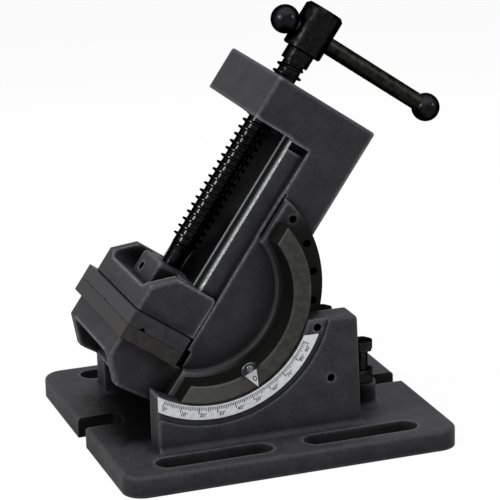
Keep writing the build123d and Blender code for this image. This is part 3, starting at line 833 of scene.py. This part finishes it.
@dataclass
class BaseAndScale:
    """The base casting, the bolts that stop and lock the tilt, and the printed angle scale.

    The scale has a tick for each degree and a number for each ten. The last number stands before its
    tick, because there is no plate left behind it.
    """

    centre: tuple[float, float] = (-40.5, 102.5)
    face_y: float = -66.5
    proud: float = 0.04
    zero_angle: float = -118.9
    last_degree: int = 90
    five: int = 5
    ten: int = 10
    tick_inner: float = 64.7
    number_height: float = 2.5
    number_weight: float = 0.05
    number_radius: float = 70.9
    number_gap: float = 0.5
    last_number_gap: float = 0.6

    def spot(self, degree: float) -> Matrix:
        """Find a degree's place on the scale.

        Args:
            degree: The tilt in degrees.

        Returns:
            The matrix that puts +X radially outwards there.
        """
        turn = math.radians(self.zero_angle + degree)
        place = Matrix.Translation((self.centre[0], self.face_y, self.centre[1]))
        return Matrix.Scale(MM, 4) @ place @ Matrix.Rotation(-turn, 4, "Y")

    def tick_kind(self, degree: int) -> Tick:
        """Return the kind of tick that a degree has."""
        return Tick.TEN if degree % self.ten == 0 else Tick.FIVE if degree % self.five == 0 else Tick.SHORT

    def ticks(self) -> bmesh.types.BMesh:
        """Make the ticks.

        Returns:
            All ticks as one mesh.
        """
        bm = bmesh.new()
        for degree in range(0, self.last_degree + 1):
            outer, width = self.tick_kind(degree).value
            made = bmesh.ops.create_cube(bm, size=1.0)["verts"]
            bmesh.ops.scale(bm, verts=made, vec=(outer - self.tick_inner, self.proud * 2, width))
            bmesh.ops.translate(bm, verts=made, vec=((outer + self.tick_inner) / 2, 0, 0))
            bmesh.ops.transform(bm, matrix=self.spot(degree), verts=made)
        return bm

    def numbers(self) -> bmesh.types.BMesh:
        """Make the numbers, with their feet outwards, each beside its long tick.

        Returns:
            All numbers as one mesh.
        """
        bm = bmesh.new()
        upright = Matrix(((0, -1, 0, 0), (0, 0, -1, 0), (1, 0, 0, 0), (0, 0, 0, 1)))
        for degree in range(0, self.last_degree + 1, self.ten):
            is_last = degree == self.last_degree
            anchor, gap = (Anchor.END, -self.last_number_gap) if is_last else (Anchor.START, self.number_gap)
            shift = Matrix.Translation((self.number_radius, 0, gap))
            add_print(bm, f"{degree}°", self.number_height, self.number_weight, self.proud, anchor,
                      self.spot(degree) @ shift @ upright)
        return bm

    def build(self, shelf: FinishShelf) -> None:
        """Dress the base and its bolts, and print the scale.

        Args:
            shelf: The finishes in use.
        """
        shelf.dress(BasePaint(), "base_casting")
        shelf.dress(BLACK_ON_FASTENERS, "stop_bolt_near", "stop_bolt_far", "stop_lock_nut_near",
                    "stop_lock_nut_far", "tilt_lock_bolt_right", "tilt_lock_bolt_left")
        shelf.dress(PaleEnamel(), "scale_plate")
        ink = shelf.take(BLACK_INK)
        new_piece("scale_ticks", self.ticks(), "base", ink)
        new_piece("scale_numbers", self.numbers(), "base", ink)


@dataclass
class TiltingBody:
    """The vise body with its ribs and fixed jaw plate, and the pointer with its printed nought."""

    nought_centre: tuple[float, float] = (-14.3, 50.9)
    face_y: float = -64.64
    nought_height: float = 3.9
    nought_weight: float = 0.06
    turn_degrees: float = 22.0
    proud: float = 0.04

    def nought(self) -> bmesh.types.BMesh:
        """Make the nought that is printed on the pointer's pale tongue.

        Returns:
            Its mesh.
        """
        upright = Matrix(((1, 0, 0, 0), (0, 0, -1, 0), (0, 1, 0, 0), (0, 0, 0, 1)))
        place = Matrix.Translation((self.nought_centre[0], self.face_y, self.nought_centre[1]))
        turn = Matrix.Rotation(-math.radians(self.turn_degrees), 4, "Y")
        bm = bmesh.new()
        add_print(bm, "0", self.nought_height, self.nought_weight, self.proud, Anchor.MIDDLE,
                  Matrix.Scale(MM, 4) @ place @ turn @ upright)
        return bm

    def build(self, shelf: FinishShelf) -> None:
        """Dress the body, its ribs, its jaw plate and the pointer, and print the nought.

        Args:
            shelf: The finishes in use.
        """
        shelf.dress(BodyPaint(), "vise_body")
        shelf.dress(RibSteel(), "bearing_rib_near", "bearing_rib_far")
        shelf.dress(BROWNED_ON_FIXED_PLATE, "fixed_jaw_plate")
        shelf.dress(BLACK_ON_FASTENERS, "fixed_jaw_plate_screws")
        shelf.dress(PaleEnamel(), "pointer")
        shelf.dress(BLACK_ON_POINTER_CAP, "pointer_cap")
        shelf.dress(RUBBED_ON_POINTER_SCREW, "pointer_screw")
        new_piece("pointer_nought", self.nought(), "vise", shelf.take(RED_INK))


class MovableJaw:
    """The movable jaw with its plate, its keeper under the ways, and the screws that hold them."""

    def build(self, shelf: FinishShelf) -> None:
        """Dress the jaw and the pieces on it.

        Args:
            shelf: The finishes in use.
        """
        shelf.dress(CastingPaint(), "movable_jaw")
        shelf.dress(BLACK_ON_MOVING_PLATE, "movable_jaw_plate")
        shelf.dress(BLACK_ON_FASTENERS, "movable_jaw_plate_screws", "jaw_keeper_plate",
                    "jaw_keeper_screws", "screw_retainer")


@dataclass
class ScrewAndHandle:
    """The lead screw, with a true helical thread over the CAD screw's plain forms, and its handle.

    Sizes are in bed millimetres. The axis is a height over the tilt axis, start and end are places along
    the bed from there, crest and root are radii, and sunk is how deep the thread's foot lies in the core.
    The welds are distances at which points are merged.
    """

    axis: float = 6.8
    crest: float = 9.25
    root: float = 6.95
    sunk: float = 0.6
    pitch: float = 5.08
    start: float = 15.2
    end: float = 147.28
    crest_share: float = 0.25
    flank_share: float = 0.09
    worn_edge: float = 0.2
    run_in: float = 4.0
    steps: int = 48
    ring_reach: float = 0.1
    weld: float = 0.0001
    carried_weld: float = 0.001

    def profile(self) -> tuple[tuple[float, float], ...]:
        """Work out the thread's section.

        Returns:
            Its corners, as distances along the screw and from its axis.
        """
        half_crest = self.crest_share * self.pitch / 2
        half_root = half_crest + self.flank_share * self.pitch
        depth, edge = self.root - self.sunk, self.worn_edge
        return ((-half_root, depth), (-half_root, self.root), (-half_crest, self.crest - edge),
                (-half_crest + edge, self.crest), (half_crest - edge, self.crest),
                (half_crest, self.crest - edge), (half_root, self.root), (half_root, depth))

    def ridge(self) -> bmesh.types.BMesh:
        """Wind the thread's section round the screw, and let it run out at both ends.

        Returns:
            The helical ridge about the X axis.
        """
        bm = bmesh.new()
        profile = self.profile()
        half_root = profile[-1][0]
        corners = [bm.verts.new((self.start + half_root + u, 0, r)) for u, r in profile]
        face = bm.faces.new(corners)
        turns = (self.end - self.start - 2 * half_root) / self.pitch
        count = round(turns * self.steps)
        bmesh.ops.spin(bm, geom=[face, *face.edges, *face.verts], cent=(0, 0, 0), axis=(1, 0, 0),
                       dvec=(self.pitch * turns / count, 0, 0), angle=turns * 2 * math.pi, steps=count,
                       use_merge=False, use_duplicate=False)
        bmesh.ops.remove_doubles(bm, verts=bm.verts, dist=self.weld)
        for vert in bm.verts:
            height = math.hypot(vert.co.y, vert.co.z)
            grown = min(1.0, (vert.co.x - self.start) / self.run_in, (self.end - vert.co.x) / self.run_in)
            if height > self.root:
                share = (self.root + (height - self.root) * max(grown, 0.0)) / height
                vert.co.y, vert.co.z = vert.co.y * share, vert.co.z * share
        return bm

    def is_ring(self, centre: Vector) -> bool:
        """Tell whether a face of the CAD screw belongs to its row of rings.

        Args:
            centre: The face's centre.

        Returns:
            Whether it does.
        """
        beside = self.start - self.ring_reach < centre.x < self.end + self.ring_reach
        return beside and math.hypot(centre.y, centre.z - self.axis) > self.root - self.sunk

    def plain_forms(self) -> bmesh.types.BMesh:
        """Take the hub and the ends of the CAD screw, without its rings.

        Returns:
            The forms in bed millimetres.
        """
        bm = bmesh.new()
        bm.from_mesh(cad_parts["lead_screw"].data)
        bmesh.ops.transform(bm, matrix=BED.matrix().inverted(), verts=bm.verts)
        bmesh.ops.remove_doubles(bm, verts=bm.verts, dist=self.carried_weld)
        rings = [face for face in bm.faces if self.is_ring(face.calc_center_median())]
        bmesh.ops.delete(bm, geom=rings, context="FACES")
        return bm

    def threaded_screw(self) -> bmesh.types.BMesh:
        """Join the ridge, a smooth core and the plain forms.

        Returns:
            The whole screw in world metres.
        """
        bm = self.ridge()
        core = bmesh.ops.create_cone(bm, cap_ends=True, segments=self.steps, radius1=self.root,
                                     radius2=self.root, depth=self.end - self.start)["verts"]
        bmesh.ops.rotate(bm, verts=core, cent=(0, 0, 0), matrix=Matrix.Rotation(math.pi / 2, 3, "Y"))
        bmesh.ops.translate(bm, verts=core, vec=((self.start + self.end) / 2, 0, 0))
        bmesh.ops.translate(bm, verts=bm.verts, vec=(0, 0, self.axis))
        plain = self.plain_forms()
        carried = bpy.data.meshes.new("carried")
        plain.to_mesh(carried)
        plain.free()
        bm.from_mesh(carried)
        bpy.data.meshes.remove(carried)
        bmesh.ops.transform(bm, matrix=BED.matrix(), verts=bm.verts)
        return bm

    def build(self, shelf: FinishShelf) -> None:
        """Dress the handle and its balls, and put the threaded screw in place of the CAD screw.

        Args:
            shelf: The finishes in use.
        """
        shelf.dress(BLACK_ON_HANDLE, "handle_bar")
        shelf.dress(POLISHED_ON_BALLS, "handle_ball_upper", "handle_ball_lower")
        piece = new_piece("threaded_lead_screw", self.threaded_screw(), "screw",
                          shelf.take(OILED_ON_SCREW))
        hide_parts("lead_screw")


def outward(turn: float, rise: float) -> Vector:
    """Find a direction that points away from the object.

    Args:
        turn: Azimuth in degrees, from the front, to the right.
        rise: Elevation in degrees.

    Returns:
        The unit direction.
    """
    across, up = math.radians(turn), math.radians(rise)
    return Vector((math.sin(across) * math.cos(up), -math.cos(across) * math.cos(up), math.sin(up)))


@dataclass(frozen=True)
class SoftBox:
    """A square lamp: its azimuth and elevation in degrees, its side in metres, and its brightness.

    The brightness is that of its face, where the white background is one.
    """

    name: str
    turn: float
    rise: float
    size: float
    radiance: float


@dataclass
class Studio:
    """Camera, soft lights, pale floor and white surround.

    The camera's numbers come from a fit to the photograph's edges. The target, its distance, the sensor
    and the floor's drop are in millimetres, and the other lengths of the studio in metres.
    """

    azimuth: float = -19.145
    elevation: float = 17.308
    roll: float = -1.447
    focal_pixels: float = 2375.0
    image_pixels: float = 500.0
    target: tuple[float, float, float] = (7.0, 0.0, 111.1)
    distance: float = 1479.9
    sensor_width: float = 36.0
    clip_start: float = 0.01
    clip_end: float = 50.0
    lamps: tuple[SoftBox, ...] = (
        SoftBox("left_box", -71, 30, 0.3, 79),
        SoftBox("right_box", 48, 25, 0.2, 64),
        SoftBox("top_box", 20, 82, 2.4, 2.4))
    lamp_distance: float = 1.6
    ambient: float = 0.2
    floor_colour: str = "#e4e4e4"
    floor_glow: float = 0.88
    floor_half_side: float = 6.0
    floor_drop: float = 0.2

    def camera(self) -> None:
        """Make the camera at the photograph's place and angle."""
        turn = math.radians(self.azimuth)
        back = outward(self.azimuth, self.elevation)
        right = Vector((math.cos(turn), math.sin(turn), 0))
        upward = back.cross(right)
        tip = math.radians(self.roll)
        across = right * math.cos(tip) + upward * math.sin(tip)
        above = -right * math.sin(tip) + upward * math.cos(tip)
        data = bpy.data.cameras.new("camera")
        data.sensor_width = self.sensor_width
        data.lens = self.focal_pixels / self.image_pixels * self.sensor_width
        data.clip_start, data.clip_end = self.clip_start, self.clip_end
        camera = bpy.data.objects.new("camera", data)
        bpy.context.scene.collection.objects.link(camera)
        place = (Vector(self.target) + back * self.distance) * MM
        basis = Matrix((across, above, back)).transposed().to_4x4()
        camera.matrix_world = Matrix.Translation(place) @ basis
        bpy.context.scene.camera = camera

    def lamp(self, box: SoftBox) -> None:
        """Add a soft box that shines at the object.

        Args:
            box: The lamp to add.
        """
        data = bpy.data.lights.new(box.name, "AREA")
        data.size = box.size
        data.energy = box.radiance * math.pi * box.size ** 2
        lamp = bpy.data.objects.new(box.name, data)
        bpy.context.scene.collection.objects.link(lamp)
        direction = outward(box.turn, box.rise)
        lamp.location = Vector(self.target) * MM + direction * self.lamp_distance
        lamp.rotation_mode = "QUATERNION"
        lamp.rotation_quaternion = direction.to_track_quat("Z", "Y")

    def shows_background(self, tree: bpy.types.NodeTree) -> Socket:
        """Tell which rays see the white background: camera, glossy and transmission rays.

        Args:
            tree: The node tree to add to.

        Returns:
            One for those rays, and zero for others.
        """
        path = add_node(tree, "ShaderNodeLightPath")
        direct = add_node(tree, "ShaderNodeMath", {0: path.outputs["Is Camera Ray"],
                                                   1: path.outputs["Is Transmission Ray"]},
                          operation="MAXIMUM")
        return add_node(tree, "ShaderNodeMath", {0: direct.outputs[0], 1: path.outputs["Is Glossy Ray"]},
                        operation="MAXIMUM").outputs[0]

    def world(self) -> None:
        """Make the surround: white where it is seen, grey as a light."""
        world = bpy.data.worlds.new("surround")
        world.use_nodes = True
        bpy.context.scene.world = world
        tree = world.node_tree
        tree.nodes.clear()
        white = add_node(tree, "ShaderNodeBackground", {"Color": linear(WHITE), "Strength": 1.0})
        grey = add_node(tree, "ShaderNodeBackground", {"Color": linear(WHITE), "Strength": self.ambient})
        mixed = add_node(tree, "ShaderNodeMixShader",
                         {0: self.shows_background(tree), 1: grey.outputs[0], 2: white.outputs[0]})
        add_node(tree, "ShaderNodeOutputWorld", {"Surface": mixed.outputs[0]})

    def floor_material(self) -> bpy.types.Material:
        """Make the floor's pale, matt material, which keeps a faint shadow.

        Returns:
            The finished material.
        """
        material = bpy.data.materials.new("matt_pale_floor")
        material.use_nodes = True
        tree = material.node_tree
        tree.nodes.clear()
        shade = add_node(tree, "ShaderNodeBsdfDiffuse", {"Color": linear(self.floor_colour)})
        glow = add_node(tree, "ShaderNodeEmission", {"Color": linear(WHITE), "Strength": 1.0})
        share = add_node(tree, "ShaderNodeMath", {0: self.shows_background(tree), 1: self.floor_glow},
                         operation="MULTIPLY")
        mixed = add_node(tree, "ShaderNodeMixShader",
                         {0: share.outputs[0], 1: shade.outputs[0], 2: glow.outputs[0]})
        add_node(tree, "ShaderNodeOutputMaterial", {"Surface": mixed.outputs[0]})
        return material

    def floor(self) -> None:
        """Make the floor just under the base."""
        bm = bmesh.new()
        bmesh.ops.create_grid(bm, x_segments=1, y_segments=1, size=self.floor_half_side)
        bmesh.ops.translate(bm, verts=bm.verts, vec=(0, 0, -self.floor_drop * MM))
        mesh = bpy.data.meshes.new("floor")
        bm.to_mesh(mesh)
        bm.free()
        mesh.materials.append(self.floor_material())
        floor = bpy.data.objects.new("floor", mesh)
        bpy.context.scene.collection.objects.link(floor)

    def build(self) -> None:
        """Make the whole studio."""
        bpy.context.scene.view_settings.view_transform = "Standard"
        self.camera()
        self.world()
        self.floor()
        for box in self.lamps:
            self.lamp(box)


def main() -> None:
    """Build the studio, then dress each sub-assembly in order."""
    logging.basicConfig(level=logging.INFO, format="%(name)s %(message)s")
    Studio().build()
    shelf = FinishShelf()
    for assembly in (BaseAndScale(), TiltingBody(), MovableJaw(), ScrewAndHandle()):
        assembly.build(shelf)


if __name__ == "__main__":
    main()
